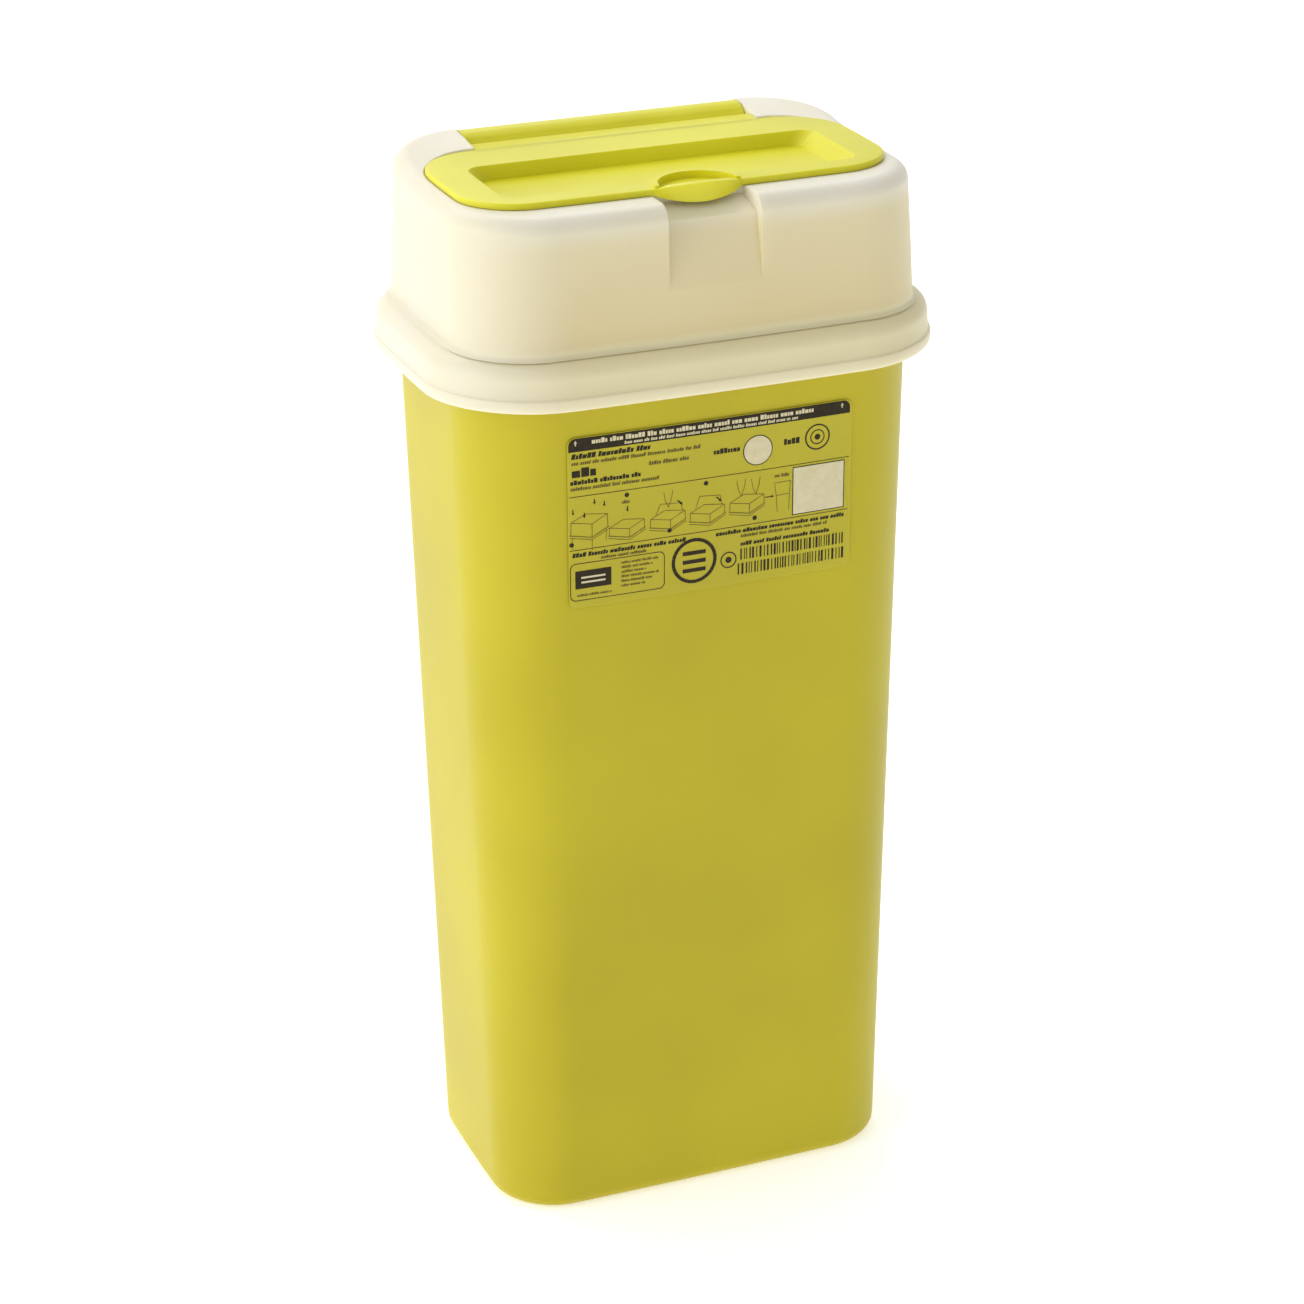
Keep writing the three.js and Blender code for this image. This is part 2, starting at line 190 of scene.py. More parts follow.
def outward(piece):
    work = bmesh.new()
    work.from_mesh(piece.data)
    bmesh.ops.recalc_face_normals(work, faces=work.faces)
    work.to_mesh(piece.data)
    work.free()


def alongX(name, outline, start, end):
    return drawn(name, outline, start, end, lambda a, b, depth: (depth, a, b))


def alongY(name, outline, start, end):
    return drawn(name, outline, start, end, lambda a, b, depth: (a, depth, b))


def alongZ(name, outline, start, end):
    return drawn(name, outline, start, end, lambda a, b, depth: (a, b, depth))


def arc(midA, midB, radius, start, end, steps):
    turn = math.radians
    return [(midA + radius * math.cos(turn(start + (end - start) * i / steps)),
             midB + radius * math.sin(turn(start + (end - start) * i / steps))) for i in range(steps + 1)]


def circle(midA, midB, radius, steps=72):
    return arc(midA, midB, radius, 0, 360, steps)[:-1]


def rectangle(a0, a1, b0, b1):
    return [(a0, b0), (a1, b0), (a1, b1), (a0, b1)]


def bake(piece):
    # the piece's modifiers become its mesh
    graph = bpy.context.evaluated_depsgraph_get()
    made = bpy.data.meshes.new_from_object(piece.evaluated_get(graph))
    piece.modifiers.clear()
    piece.data = made


def combine(piece, tool, how):
    change = piece.modifiers.new(how, "BOOLEAN")
    change.operation = how
    change.object = tool
    change.solver = "EXACT"
    bake(piece)
    bpy.data.objects.remove(tool)
    return piece


def softenEdges(piece, width, sharpAngle=34, segments=3):
    edge = piece.modifiers.new("softEdges", "BEVEL")
    edge.width = width * mm
    edge.segments = segments
    edge.limit_method = "ANGLE"
    edge.angle_limit = math.radians(sharpAngle)
    edge.use_clamp_overlap = True
    bake(piece)


def smooth(piece, sharpAngle=32):
    piece.data.shade_smooth()
    piece.data.set_sharp_from_angle(angle=math.radians(sharpAngle))


def quarterRound(ring, radius, flatZ, up, steps):
    rings = []
    for i in range(steps + 1):
        angle = i / steps * math.pi / 2
        rings.append(grow(ring, -radius * (1 - math.cos(angle)), flatZ - up * radius * (1 - math.sin(angle))))
    return rings


def finishPiece(piece, body, node, material):
    piece.data.materials.clear()
    piece.data.materials.append(material)
    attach(piece, body)
    if node:
        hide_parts(node)


# materials
def makeTubPlastic():
    # injection-moulded yellow polypropylene: satin, slightly translucent, faint mould grain and flow clouds
    settings = {"colour": "#c4b71e", "deep": "#bbad18", "roughness": 0.42, "ior": 1.49, "grainMm": 0.55,
                "cloudMm": 90}
    material, tree, shader, place = startMaterial("mouldedYellowPolypropylene")
    cloud, tint = addMottle(tree, place, settings["cloudMm"], 2.0, 0.15, settings["deep"], settings["colour"])
    tree.links.new(tint, shader.inputs["Base Color"])
    rough = addNode(tree, "ShaderNodeMapRange", {"To Min": settings["roughness"] - 0.05,
                                                 "To Max": settings["roughness"] + 0.06, "Value": cloud})
    tree.links.new(rough.outputs["Result"], shader.inputs["Roughness"])
    addRelief(tree, shader, place, settings["grainMm"], 3.0, 0.06, 0.05)
    setShader(shader, {"IOR": settings["ior"], "Specular IOR Level": 0.3, "Subsurface Weight": 0.25,
                       "Subsurface Radius": (1.0, 0.8, 0.12), "Subsurface Scale": 4 * mm})
    return material


def makeLidPlastic():
    # natural polypropylene without pigment, milky; painted light makes it near white at the crest and on the
    # left side, and painted shade makes it tan lower down the dome wall, towards the foot
    # crest, wall and foot tints: painted light near white at the crest, painted shade tan low on the dome
    # wall; the lit tint is painted light on the left side
    settings = {"crest": "#f4efe0", "wall": "#e6d8ae", "foot": "#ddcb97", "band": "#e8dfbd",
                "cloud": "#e6dcb2", "paintedLightLeft": "#e3ddcb", "roughness": 0.4, "ior": 1.49, "grainMm": 0.6,
                "cloudMm": 60, "bandZ": 331, "skirtZ": 346, "wallZ": 380, "crestZ": 391, "litX": -90,
                "shadedX": -50}
    material, tree, shader, place = startMaterial("mouldedNaturalPolypropylene")
    split = addNode(tree, "ShaderNodeSeparateXYZ", {"Vector": place}).outputs
    noise = addNode(tree, "ShaderNodeTexNoise", {"Scale": 1000 / settings["cloudMm"], "Detail": 2.0,
                                                 "Vector": place})
    haze = addNode(tree, "ShaderNodeMapRange", {"From Min": 0.35, "From Max": 0.65, "To Max": 0.35,
                                                "Value": noise.outputs["Fac"]})
    skirtZ, wallZ, bandZ = settings["skirtZ"], settings["wallZ"], settings["bandZ"]
    shares = {"overall": haze.outputs["Result"]}
    # the ramps up the wall and up the crest carry painted shade and painted light by height; the ramp across
    # X carries painted light on the left side
    for name, axis, low, high in (
            ("paintedShadeUpTheWall", "Z", skirtZ, wallZ), ("paintedLightUpTheCrest", "Z", wallZ, settings["crestZ"]),
            ("overSkirt", "Z", skirtZ - 2, skirtZ + 1), ("overBand", "Z", bandZ - 0.6, bandZ + 0.2),
            ("awayFromPaintedLight", "X", settings["litX"], settings["shadedX"])):
        share = addNode(tree, "ShaderNodeMapRange", {"From Min": low * mm, "From Max": high * mm,
                                                     "Value": split[axis]})
        shares[name] = share.outputs["Result"]
    # each layer lays one tint over another, both named above or in an earlier row
    tints = {key: srgb(settings[key]) for key in ("crest", "wall", "foot", "band", "cloud", "paintedLightLeft")}
    # the lit tint, painted light, takes over towards the left side; the haze layer is plain mottle
    for name, share, under, over in (
            ("lower", "paintedShadeUpTheWall", "foot", "wall"), ("dome", "paintedLightUpTheCrest", "lower", "crest"),
            ("rim", "overBand", "band", "cloud"), ("shaded", "overSkirt", "rim", "dome"),
            ("whole", "awayFromPaintedLight", "paintedLightLeft", "shaded"), ("hazed", "overall", "whole", "cloud")):
        layer = addNode(tree, "ShaderNodeMix", {"data_type": "RGBA", "Factor": shares[share],
                                                "A": tints[under], "B": tints[over]})
        tints[name] = layer.outputs["Result"]
    tree.links.new(tints["hazed"], shader.inputs["Base Color"])
    addRelief(tree, shader, place, settings["grainMm"], 3.0, 0.05, 0.05)
    setShader(shader, {"Roughness": settings["roughness"], "IOR": settings["ior"], "Subsurface Weight": 0.35,
                       "Subsurface Radius": (1.0, 0.9, 0.7), "Subsurface Scale": 4 * mm})
    return material


def makeFlapPlastic():
    # brighter yellow polypropylene of the flap: satin top that catches the light, fine mould grain
    settings = {"colour": "#e7e22a", "deep": "#e0da22", "roughness": 0.38, "ior": 1.49, "grainMm": 0.5,
                "cloudMm": 45}
    material, tree, shader, place = startMaterial("mouldedBrightYellowPolypropylene")
    tint = addMottle(tree, place, settings["cloudMm"], 2.0, 0.15, settings["deep"], settings["colour"])[1]
    tree.links.new(tint, shader.inputs["Base Color"])
    addRelief(tree, shader, place, settings["grainMm"], 3.0, 0.07, 0.05)
    setShader(shader, {"Roughness": settings["roughness"], "IOR": settings["ior"], "Subsurface Weight": 0.25,
                       "Subsurface Radius": (1.0, 0.9, 0.1), "Subsurface Scale": 3 * mm})
    return material


def makeFilm():
    # clear self-adhesive film: takes the tub's yellow, glossier and faintly wavy where it was rubbed down
    settings = {"colour": "#c4b71e", "deep": "#bbad18", "roughness": 0.22, "ior": 1.47, "waveMm": 24,
                "cloudMm": 90}
    material, tree, shader, place = startMaterial("clearAdhesiveFilm")
    tint = addMottle(tree, place, settings["cloudMm"], 2.0, 0.15, settings["deep"], settings["colour"])[1]
    tree.links.new(tint, shader.inputs["Base Color"])
    addRelief(tree, shader, place, settings["waveMm"], 1.0, 0.12, 0.4)
    setShader(shader, {"Roughness": settings["roughness"], "IOR": settings["ior"], "Specular IOR Level": 0.4,
                       "Subsurface Weight": 0.2, "Subsurface Radius": (1.0, 0.8, 0.12),
                       "Subsurface Scale": 3 * mm})
    return material


def makeInk(name, dark, light, mottleMm, roughness):
    # printed ink: dense, with the slight mottle of flexographic print
    material, tree, shader, place = startMaterial(name)
    tint = addMottle(tree, place, mottleMm, 3.0, 0.2, dark, light)[1]
    tree.links.new(tint, shader.inputs["Base Color"])
    setShader(shader, {"Roughness": roughness, "Specular IOR Level": 0.2})
    return material


tubPlastic = makeTubPlastic()
lidPlastic = makeLidPlastic()
flapPlastic = makeFlapPlastic()
film = makeFilm()
blackInk = makeInk("printedBlackInk", "#221a06", "#30260c", 1.5, 0.35)
greyInk = makeInk("printedGreyInk", "#5f5318", "#6d6120", 1.5, 0.4)
whiteInk = makeInk("printedWhiteInk", "#d3c9a0", "#dcd3ae", 2.5, 0.4)
print("materials made:", len(bpy.data.materials))


# tub
tub = {
    "height": 338.5, "foot": ringOf(79.6, 49.9, 24.5, 1.0), "mouth": ringOf(86.8, 57.1, 30.3, 1.9),
    "wall": 1.6, "base": 2.2, "footWidth": 4.5, "footLift": 1.2, "footFillet": 5.5,
    "beadOut": 2.0, "beadTall": 7.0,
}
bead = grow(tub["mouth"], tub["beadOut"])


def tubRing(z, offset=0.0):
    return grow(between(tub["foot"], tub["mouth"], z / tub["height"], z), offset)


def makeTub():
    top, fillet, wall = tub["height"], tub["footFillet"], tub["wall"]
    beadFoot = top - tub["beadTall"]
    sides = [tubRing(20 + (beadFoot - 22) * i / 10) for i in range(11)]
    outer = quarterRound(tubRing(fillet), fillet, 0, -1, 8)[::-1] + sides
    outer += [grow(bead, 0, beadFoot), grow(bead, 0, top - 1.4)]
    outer += [grow(bead, -0.4, top - 0.4), grow(bead, -1.2, top)]
    body = loft("containerBody", outer)
    floorZ = tub["footLift"] + tub["base"]
    inner = quarterRound(tubRing(fillet, -wall), fillet - wall, floorZ, -1, 6)[::-1]
    inner += [tubRing(20 + (beadFoot - 20) * i / 6, -wall) for i in range(7)] + [tubRing(top + 1, -wall)]
    combine(body, loft("tubHollow", inner), "DIFFERENCE")
    foot = grow(tub["foot"], -fillet - tub["footWidth"])
    combine(body, prism("tubUnderside", foot, -1, tub["footLift"]), "DIFFERENCE")
    softenEdges(body, 0.5)
    smooth(body)
    finishPiece(body, "container", "container_body", tubPlastic)


makeTub()
print("tub made")


# lid
lid = {
    "height": 396.3, "wall": 1.8, "fitGap": 0.3, "skirtGap": 3.7, "skirtTall": 17.0, "bandTall": 4.8,
    "lipTall": 4.6, "shoulder": 3.9, "shoulderRound": 5.6, "shoulderDrop": 6.2, "shoulderRise": 6.1,
    "domeEase": 1.9,
    "foot": ringOf(87.3, 59.6, 27.0, 1.9), "top": ringOf(86.0, 58.4, 29.0, 1.9),
    "fillet": 6.0, "curbRise": 4.7, "curbStart": 4.0, "recess": 0.3, "fingerGap": 0.7, "fingerTall": 29.0,
    "fingerDeep": 4.6, "shelfDrop": 3.4,
}
flap = {
    "half": 79.9, "front": -43.0, "rear": 31.5, "corner": 21.0, "plate": 2.2, "trayHalf": 66.5,
    "trayFront": -34.0, "trayRear": 9.7, "trayDeep": 5.1, "traySlope": 5.0, "trayWall": 1.6, "mouthGap": 0.9,
    "barrel": 9.0, "barrelHalf": 54.5, "barrelGap": 0.4, "bore": 6.4, "ribs": 4, "ribWidth": 2.4,
    "pin": 3.0, "pinReach": 4.0, "web": 1.0, "groove": 3.4,
    "tabCentre": 0.8, "tabHalf": 16.5, "tabReach": 5.5,
    "lipThick": 2.2, "lipUp": 2.2, "lipDown": 2.4, "scoop": 14.3, "scoopRim": 1.7, "scoopRise": 1.3,
    "scoopFloor": 1.2,
}
deckFront = lid["height"] - lid["curbRise"]
seatZ = deckFront - lid["recess"]
ceilingZ = seatZ - lid["wall"]
plateBottom = seatZ + lid["fitGap"]
plateTop = plateBottom + flap["plate"]
hingeY = lid["top"]["y"] - flap["barrel"] - 0.2
hingeZ = lid["height"] - flap["barrel"]
ledgeZ = tub["height"] + lid["fitGap"]
domeFootZ = ledgeZ + lid["shoulder"] + 1.8
skirtBottom = ledgeZ + lid["shoulder"] - lid["skirtTall"]
fingerHalf = flap["tabHalf"] + lid["fingerGap"]


def ease(value, low, high):
    share = min(max((value - low) / (high - low), 0), 1)
    return share * share * (3 - 2 * share)


def topDrop(y, z):  # level in front, rising to the rear curb
    near = ease(z, domeFootZ + 20, lid["height"] - lid["fillet"])
    return lid["curbRise"] * (1 - ease(y, lid["curbStart"], hingeY + 5)) * near


def flapRing(offset=0.0):
    half, middle = (flap["rear"] - flap["front"]) / 2, (flap["rear"] + flap["front"]) / 2
    return grow(ringOf(flap["half"], half, flap["corner"], 1.2, 0, middle), offset)


def trayRing(offset=0.0):
    half = (flap["trayRear"] - flap["trayFront"]) / 2
    return grow(ringOf(flap["trayHalf"], half, 6, 0.3, 0, (flap["trayRear"] + flap["trayFront"]) / 2), offset)


def fingerOutline(behind):  # shelf under the tab's lip, then a face running out to the dome
    outside = -lid["foot"]["y"] - 6
    footZ = deckFront - lid["fingerTall"] - behind * 2
    share = (footZ - domeFootZ) / (lid["height"] - domeFootZ)
    footY = -(lid["foot"]["y"] + (lid["top"]["y"] - lid["foot"]["y"]) * share) + behind
    shelfY = lid["fingerDeep"] - lid["top"]["y"] + behind
    backY = flap["front"] + 1 + behind
    topZ = ceilingZ + 0.5 if behind else lid["height"]
    lipFoot = plateBottom - flap["lipDown"] - 2 * lid["fitGap"] - behind
    return [(outside, footZ), (footY, footZ), (shelfY, lipFoot - lid["shelfDrop"]), (backY, lipFoot),
            (backY, topZ), (outside, topZ)]


def skirtProfile():
    skirt = grow(bead, lid["skirtGap"] + lid["wall"])
    band = skirtBottom + lid["bandTall"]
    top = ledgeZ + lid["shoulder"]
    foot = [(0.3, 0), (1.0, 0.25), (1.5, 0.9), (1.7, 1.8)]
    rings = [grow(skirt, out, skirtBottom + up) for out, up in foot]
    rings += [grow(skirt, out, band + up) for out, up in ((1.7, -1.0), (1.5, -0.3), (1.0, 0), (0.75, 0.6))]
    for i in range(9):  # face, then the round shoulder
        angle = i / 8 * math.pi / 2
        inset = 0.5 - lid["shoulderRound"] * (1 - math.cos(angle))
        rings.append(grow(skirt, inset, top - lid["shoulderDrop"] + lid["shoulderRise"] * math.sin(angle)))
    for i in range(1, 6):  # hollow up into the dome wall
        angle = i / 5 * math.pi / 2
        out, up = (lid["domeEase"] * (1 - turn) for turn in (math.sin(angle), math.cos(angle)))
        rings.append(grow(lid["foot"], out, top + up))
    return rings


def makeLid():
    crest = quarterRound(lid["top"], lid["fillet"], lid["height"], 1, 12)
    inward = [grow(lid["top"], -by, lid["height"]) for by in (9, 12, 16, 20, 25, 30, 35, 40, 46, 52)]
    rise = lid["height"] - lid["fillet"] - domeFootZ
    walls = [between(lid["foot"], lid["top"], i / 8, domeFootZ + rise * i / 8) for i in range(1, 8)]
    shell = loft("lidShell", skirtProfile() + walls + crest + inward, topDrop)
    lip = grow(bead, 0.4)
    inside = grow(bead, lid["skirtGap"])
    hollow = loft("lidHollow", [
        grow(lip, 0, skirtBottom - 1), grow(lip, 0, skirtBottom + lid["lipTall"]),
        grow(inside, 0, skirtBottom + lid["lipTall"] + 1.5), grow(inside, 0, ledgeZ),
        grow(lid["foot"], -lid["wall"], ledgeZ),
        *quarterRound(grow(lid["top"], -lid["wall"]), lid["fillet"] - lid["wall"], ceilingZ, 1, 5)])
    half = flap["barrelHalf"] + flap["barrelGap"] + flap["pinReach"] + lid["wall"]
    around = flap["barrel"] + flap["barrelGap"] + lid["wall"]
    cradle = alongX("hingeCradle", circle(hingeY, hingeZ, around), -half, half)
    pad = fingerHalf + lid["wall"]
    middle = flap["tabCentre"]
    combine(cradle, alongX("fingerPad", fingerOutline(lid["wall"]), middle - pad, middle + pad), "UNION")
    within = shell.copy()
    within.data = shell.data.copy()
    scene.collection.objects.link(within)
    combine(cradle, within, "INTERSECT")
    combine(shell, hollow, "DIFFERENCE")
    combine(shell, cradle, "UNION")
    combine(shell, prism("flapSeat", flapRing(0.6), seatZ, lid["height"] + 5), "DIFFERENCE")
    edge = flap["trayWall"] + flap["mouthGap"]
    combine(shell, prism("aperture", trayRing(edge), ceilingZ - 5, lid["height"] + 5), "DIFFERENCE")
    notch = flap["barrelHalf"] + flap["barrelGap"]
    trough = alongX("trough", circle(hingeY, hingeZ, flap["barrel"] + flap["barrelGap"]), -notch, notch)
    over = rectangle(flap["rear"] - 2, lid["top"]["y"] + 10, seatZ, lid["height"] + 5)
    behind = rectangle(hingeY, lid["top"]["y"] + 10, hingeZ - flap["barrel"] / 2, lid["height"] + 6)
    socket = notch + flap["pinReach"] + lid["fitGap"]
    combine(trough, alongX("overTongue", over, -notch + 0.001, notch - 0.001), "UNION")
    combine(trough, alongX("behindBarrel", behind, -notch + 0.002, notch - 0.002), "UNION")
    bore = circle(hingeY, hingeZ, flap["pin"] + lid["fitGap"], 40)
    combine(trough, alongX("pinSocket", bore, -socket, socket), "UNION")
    combine(shell, trough, "DIFFERENCE")
    finger = alongX("fingerRecess", fingerOutline(0), middle - fingerHalf, middle + fingerHalf)
    combine(shell, finger, "DIFFERENCE")
    softenEdges(shell, 0.8)
    smooth(shell)
    finishPiece(shell, "lid", "lid_shell", lidPlastic)


makeLid()
print("lid made")


# flap
def makeFlapPiece():
    floorZ = plateTop - flap["trayDeep"]
    basinZ = floorZ - flap["trayWall"]
    front, middle = flap["front"], flap["tabCentre"]
    plateRings = [flapRing() | {"z": plateBottom}] + quarterRound(flapRing(), 0.7, plateTop, 1, 4)
    piece = loft("flapPanel", plateRings)
    combine(piece, prism("trayBasin", trayRing(flap["trayWall"]), basinZ, plateTop - 0.05), "UNION")
    floorRing = dict(trayRing(-1), x=flap["trayHalf"] - flap["traySlope"], z=floorZ)
    hollow = [floorRing, dict(trayRing(), z=plateTop), dict(trayRing(), z=plateTop + 4)]
    combine(piece, loft("trayHollow", hollow), "DIFFERENCE")
    rimRadius = flap["scoop"] + flap["scoopRim"]
    island = alongZ("scoopIsland", circle(middle, front, rimRadius + 1), basinZ + 0.01, plateTop - 0.02)
    within = prism("islandBounds", trayRing(flap["trayWall"]), basinZ - 1, plateTop + 1)
    combine(island, within, "INTERSECT")
    combine(piece, island, "UNION")
    combine(piece, makeHingeBarrel(), "UNION")
    rimTop = plateTop + flap["scoopRise"]
    rim = alongZ("scoopRim", circle(middle, front - 1, rimRadius), plateBottom + 0.2, rimTop)
    behind = alongZ("behindFront", rectangle(-80, 80, front, 30), plateBottom, plateTop + 3)
    combine(rim, behind, "INTERSECT")
    combine(piece, rim, "UNION")
    combine(piece, makeTabLip(), "UNION")
    wellFloor = plateTop - flap["scoopFloor"]
    well = alongZ("scoopWell", circle(middle, front - 1, flap["scoop"]), wellFloor, plateTop + 4)
    behind = alongZ("wellBounds", rectangle(-80, 80, front - 0.6, 30), plateBottom, plateTop + 6)
    combine(well, behind, "INTERSECT")
    combine(piece, well, "DIFFERENCE")
    softenEdges(piece, 0.55)
    smooth(piece)
    finishPiece(piece, "flap", "flap", flapPlastic)


def makeTabLip():
    # bowed wall in plan, cut to curved upper and lower edges
    half, reach, middle = flap["tabHalf"], flap["tabReach"], flap["tabCentre"]
    radius = (half ** 2 + reach ** 2) / (2 * reach)
    backY = flap["front"] - reach + radius
    spread = math.degrees(math.asin(half / radius))
    outline = arc(middle, backY, radius, -90 - spread, -90 + spread, 40)
    low, high = plateBottom - flap["lipDown"] - 1, plateTop + flap["lipUp"] + 1
    back = flap["front"] + 0.5
    lip = alongZ("tabLip", outline + [(middle + half, back), (middle - half, back)], low, high)
    for bottom, top in ((low - 1, plateBottom), (plateTop - flap["scoopFloor"], high + 1)):
        inside = alongZ("lipInside", circle(middle, backY, radius - flap["lipThick"], 180), bottom, top)
        combine(lip, inside, "DIFFERENCE")
    side = [1 - 2 * i / 30 for i in range(31)]
    edges = [(middle + s * (half + 0.1), plateTop + flap["lipUp"] * (1 - s * s)) for s in side]
    edges += [(middle - s * (half + 0.1), plateBottom - flap["lipDown"] * (1 - s * s)) for s in side]
    combine(lip, alongY("lipFace", edges, flap["front"] - reach - 2, flap["front"] + 1), "INTERSECT")
    return lip


def makeHingeBarrel():
    half, webZ = flap["barrelHalf"], plateBottom + flap["web"]
    grooveY = hingeY - math.sqrt(flap["barrel"] ** 2 - (webZ - hingeZ) ** 2)
    webEnd, start = hingeY - flap["barrel"] / 2, flap["rear"] - 3
    web = [(start, plateBottom + 0.01), (webEnd, plateBottom + 0.01), (webEnd, webZ), (grooveY, webZ)]
    web += [(grooveY - flap["groove"], plateTop - 0.01), (start, plateTop - 0.01)]
    barrel = alongX("hingeBarrel", circle(hingeY, hingeZ, flap["barrel"], 120), -half, half)
    combine(barrel, alongX("hingeWeb", web, -half + 0.002, half - 0.002), "UNION")
    bay = (2 * half - flap["ribWidth"]) / (flap["ribs"] + 1)
    slot = flap["bore"] - 1.2
    for i in range(flap["ribs"] + 1):
        start = -half + flap["ribWidth"] + i * bay
        end = start + bay - flap["ribWidth"]
        core = alongX("core", circle(hingeY, hingeZ, flap["bore"], 48), start, end)
        below = rectangle(hingeY - slot, hingeY + slot, hingeZ - flap["barrel"] - 1, hingeZ)
        combine(core, alongX("coreSlot", below, start + 0.001, end - 0.001), "UNION")
        combine(barrel, core, "DIFFERENCE")
    reach = half + flap["barrelGap"] + flap["pinReach"]
    for low, high in ((-reach, -half + 1), (half - 1, reach)):
        combine(barrel, alongX("pin", circle(hingeY, hingeZ, flap["pin"], 40), low, high), "UNION")
    return barrel


makeFlapPiece()
print("flap made")


# label film and print
label = {
    "half": 54.0, "top": skirtBottom - 12.6, "tall": 63.9, "lift": 0.3, "thick": 0.25, "corner": 3.0,
    "ink": 0.03, "seed": 7, "printLeft": -53.6, "printRight": 53.1,
}


def frontY(x, z, offset):
    ring = tubRing(z, offset)
    straight = ring["x"] - ring["bow"]
    return -(ring["y"] - ring["bow"] + ring["bow"] * (1 - (x / straight) ** 2))


def makeFilmPiece():
    # grid over a rounded rectangle, wrapped on the tub's front
    columns, rows = 60, 36
    half, tall, corner = label["half"], label["tall"], label["corner"]
    points, faces = [], []
    for layer in (label["lift"], label["lift"] + label["thick"]):
        for j in range(rows + 1):
            down = tall * (0.5 - 0.5 * math.cos(math.pi * j / rows))
            near = max(corner - min(down, tall - down), 0)
            width = half - corner + math.sqrt(max(corner ** 2 - near ** 2, 0.01))
            for i in range(columns + 1):
                x = width * (2 * i / columns - 1)
                z = label["top"] - down
                points.append((x, frontY(x, z, layer), z))
    row, layer = columns + 1, (columns + 1) * (rows + 1)
    for j in range(rows):
        for i in range(columns):
            a = j * row + i
            faces.append((a, a + 1, a + row + 1, a + row))
            faces.append((layer + a, layer + a + row, layer + a + row + 1, layer + a + 1))
    rim = list(range(columns)) + [j * row + columns for j in range(rows)]
    rim += [rows * row + i for i in range(columns, 0, -1)] + [j * row for j in range(rows, 0, -1)]
    for i, a in enumerate(rim):
        b = rim[(i + 1) % len(rim)]
        faces.append((a, layer + a, layer + b, b))
    piece = meshObject("labelFilm", points, faces)
    outward(piece)
    smooth(piece, 50)
    finishPiece(piece, "container", "label_film", film)


class Print:
    # flat ink shapes, laid on the film; u runs along X, v runs down from the label's top edge
    def __init__(self, name, material, level):
        self.name, self.material = name, material
        self.offset = label["lift"] + label["thick"] + label["ink"] * level
        self.points, self.faces = [], []

    def patch(self, outline):
        base = len(self.points)
        for u, v in outline:
            z = label["top"] - v
            self.points.append((u, frontY(u, z, self.offset), z))
        self.faces.append(tuple(range(base, base + len(outline))))

    def bar(self, u0, u1, v0, v1, slices=None):
        count = slices or max(1, int((u1 - u0) / 6))
        for i in range(count):
            a, b = u0 + (u1 - u0) * i / count, u0 + (u1 - u0) * (i + 1) / count
            self.patch([(a, v0), (a, v1), (b, v1), (b, v0)])

    def line(self, path, width):
        for (ua, va), (ub, vb) in zip(path, path[1:]):
            length = math.hypot(ub - ua, vb - va) or 1e-6
            nu, nv = -(vb - va) / length * width / 2, (ub - ua) / length * width / 2
            self.patch([(ua + nu, va + nv), (ub + nu, vb + nv), (ub - nu, vb - nv), (ua - nu, va - nv)])

    def frame(self, u0, u1, v0, v1, width, corner):
        left, right, top, foot = u0 + corner, u1 - corner, v0 + corner, v1 - corner
        path = arc(right, top, corner, -90, 0, 6) + arc(right, foot, corner, 0, 90, 6)
        path += arc(left, foot, corner, 90, 180, 6) + arc(left, top, corner, 180, 270, 6)
        self.line(path + path[:1], width)

    def ring(self, u, v, radius, width):
        self.line(arc(u, v, radius, 0, 360, 30), width)

    def blob(self, u, v, radius):
        self.patch(circle(u, v, radius, 36)[::-1])

    def words(self, u0, u1, v, tall, weight, slant=0.0):
        # writing shown as rows of plain blocks with word spaces, no letters
        u = u0
        while u < u1 - tall * 0.4:
            for _ in range(random.randint(3, 9)):
                wide = tall * random.uniform(0.34, 0.62) * weight / 0.62
                if u + wide > u1:
                    return
                top = 0 if random.random() < 0.25 else tall * 0.26
                lean = slant * (tall - top)
                self.patch([(u + lean, v + top), (u, v + tall), (u + wide, v + tall),
                            (u + wide + lean, v + top)])
                u += wide + tall * 0.125
            u += tall * 0.45

    def strokes(self, u0, u1, v, tall):
        # plain upright strokes of uneven width, as a stand-in for a tall narrow code
        u = u0
        while u < u1:
            wide = random.choice((0.35, 0.35, 0.55, 0.8))
            self.patch([(u, v), (u, v + tall), (min(u + wide, u1), v + tall), (min(u + wide, u1), v)])
            u += wide + random.choice((0.45, 0.6, 0.9))

    def arrow(self, u, v, du, dv, width, head):
        length = math.hypot(du, dv)
        eu, ev = du / length, dv / length
        self.line([(u, v), (u + du - eu * head * 0.6, v + dv - ev * head * 0.6)], width)
        tip, back = (u + du, v + dv), (u + du - eu * head, v + dv - ev * head)
        corners = [tip, (back[0] - ev * head * 0.55, back[1] + eu * head * 0.55),
                   (back[0] + ev * head * 0.55, back[1] - eu * head * 0.55)]
        self.patch(corners)

    def make(self):
        piece = meshObject(self.name, self.points, self.faces)
        finishPiece(piece, "container", None, self.material)


